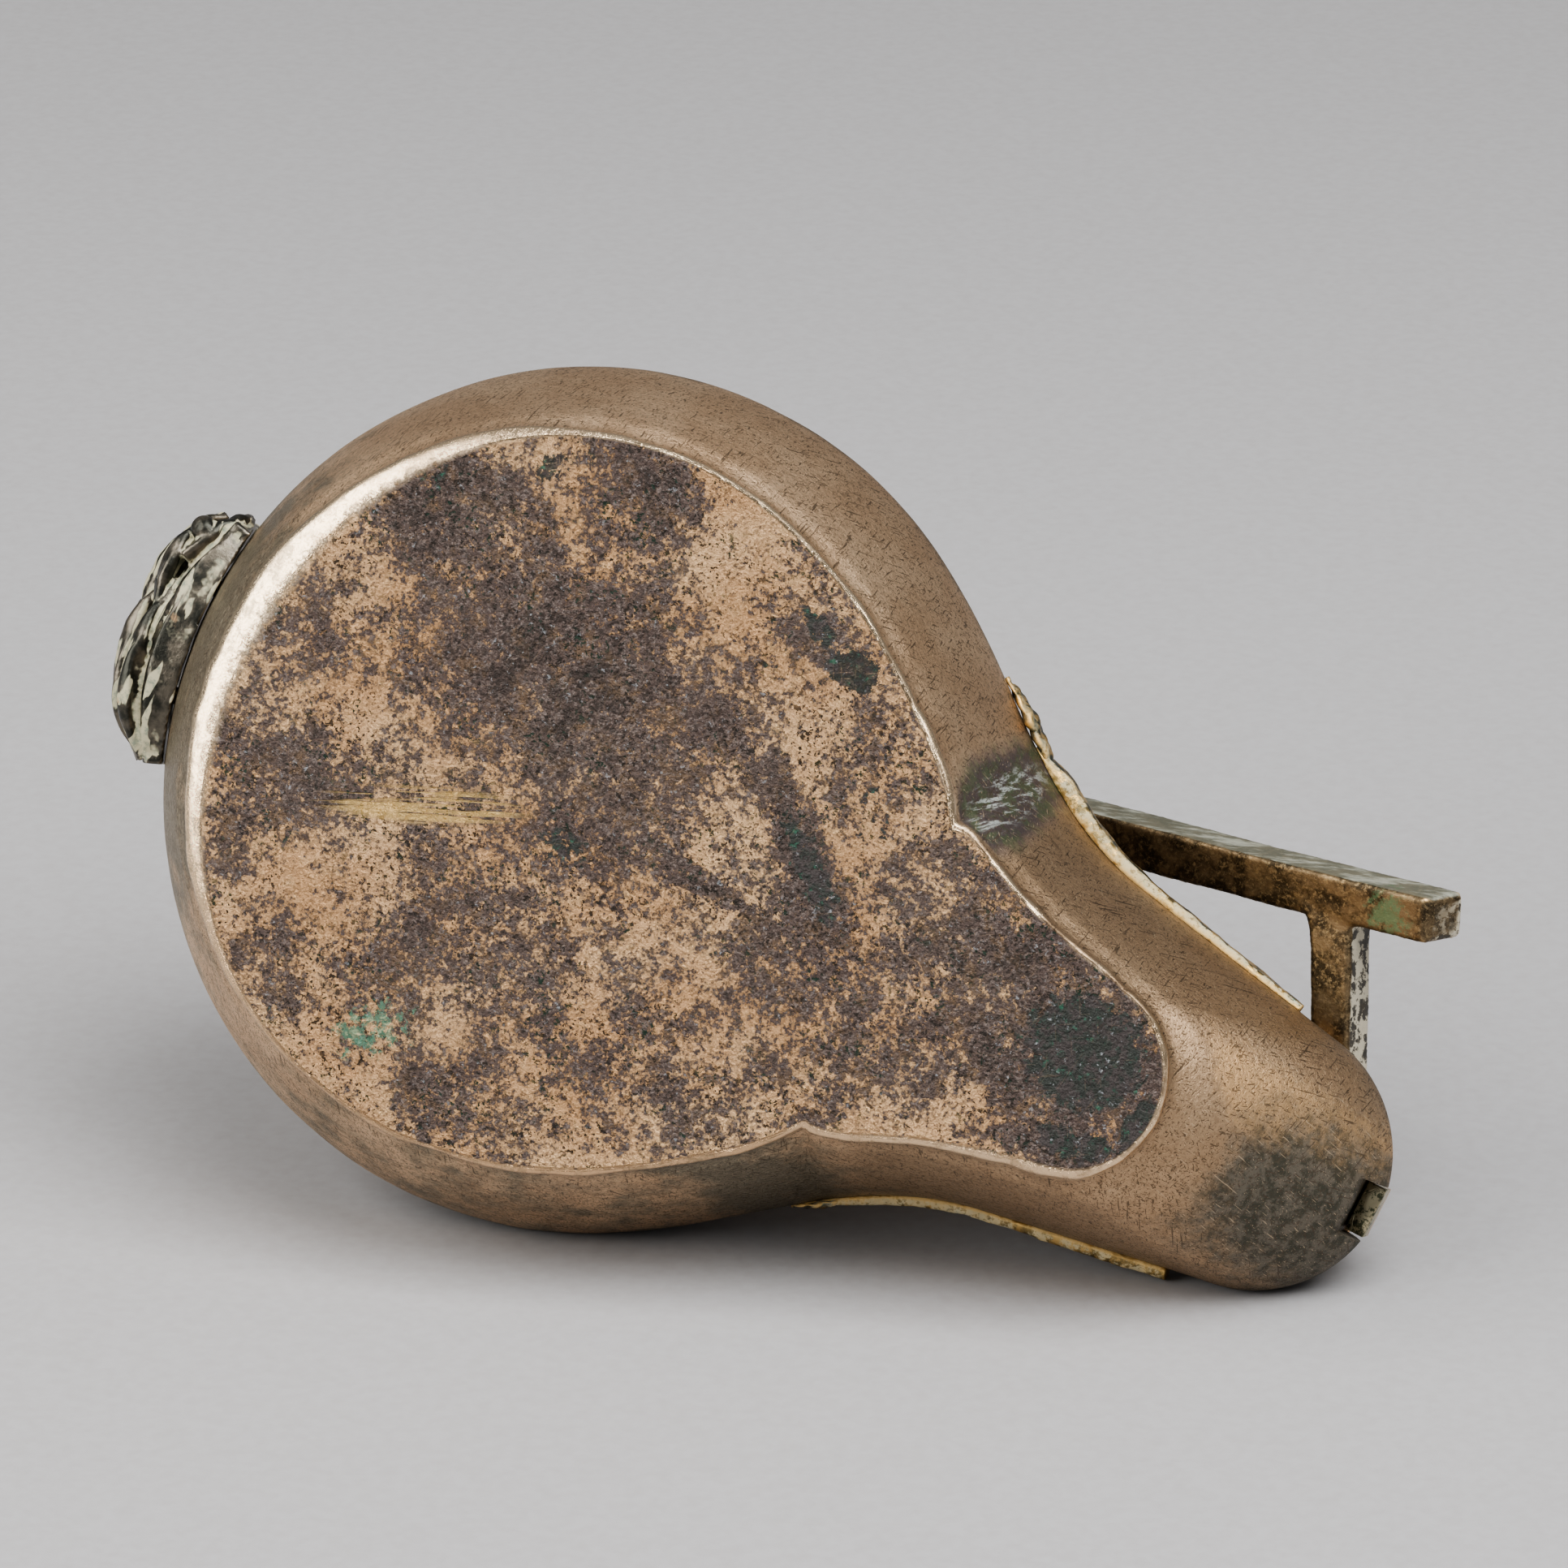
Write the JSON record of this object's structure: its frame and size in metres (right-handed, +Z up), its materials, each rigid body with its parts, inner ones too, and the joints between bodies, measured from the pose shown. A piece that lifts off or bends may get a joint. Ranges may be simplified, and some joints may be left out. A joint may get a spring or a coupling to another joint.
{
  "type": "inkwell",
  "caption": "Cast bronze inkwell shaped like an antique oil lamp: round reservoir with a tapering nozzle, domed lid on a rear hinge with a lift arm, lift-out glazed pot and pen socket.",
  "frame": {"origin": "middle of the foot's round part, on the foot's flat face", "axes": "+X along the body's long axis towards the nozzle, +Z up out of the foot, +Y to the left of the nozzle"},
  "size_m": [0.1376, 0.0862, 0.0677],
  "materials": {
    "bronze": "worn satin cast bronze, pitted on the foot",
    "bronze_trim": "bronze under a cream crust",
    "leaf_bronze": "dark patinated bronze with cream crevices",
    "arm_bronze": "mottled brown bronze",
    "fastener": "worn brass",
    "glazed_white": "glossy glaze",
    "leather": "matt"
  },
  "bodies": {
    "base": {"bowl": "bronze", "border_left": "bronze_trim", "border_right": "bronze_trim", "scroll_left": "bronze_trim", "scroll_right": "bronze_trim", "rear_leaf": "leaf_bronze", "leaf_rivet_1": "fastener", "leaf_rivet_2": "fastener", "deck_plate": "bronze", "deck_screw_1": "fastener", "deck_screw_2": "fastener", "deck_screw_3": "fastener", "deck_screw_4": "fastener", "well_collar": "bronze", "pot_washer": "leather", "pen_ring": "bronze_trim", "hinge_bracket": "bronze", "bracket_rivet_1": "fastener", "bracket_rivet_2": "fastener", "hinge_pin": "fastener"},
    "lid": {"lid_dome": "bronze", "lid_knuckle": "bronze", "knuckle_rivet_1": "fastener", "knuckle_rivet_2": "fastener", "lid_arm": "arm_bronze", "crown_washer": "fastener", "crown_stud": "fastener", "crown_nut": "bronze"},
    "pot": {"ink_pot": "glazed_white"}
  },
  "joints": [
    {"name": "lid_hinge", "type": "hinge", "parent": "base", "child": "lid", "pos_m": [-0.0374, 0, 0.0288], "axis": [0, -1, 0], "range_deg": [0, 95]},
    {"name": "pot_lift", "type": "slide", "parent": "base", "child": "pot", "axis": [0, 0, 1], "range_m": [0, 0.006]}
  ]
}
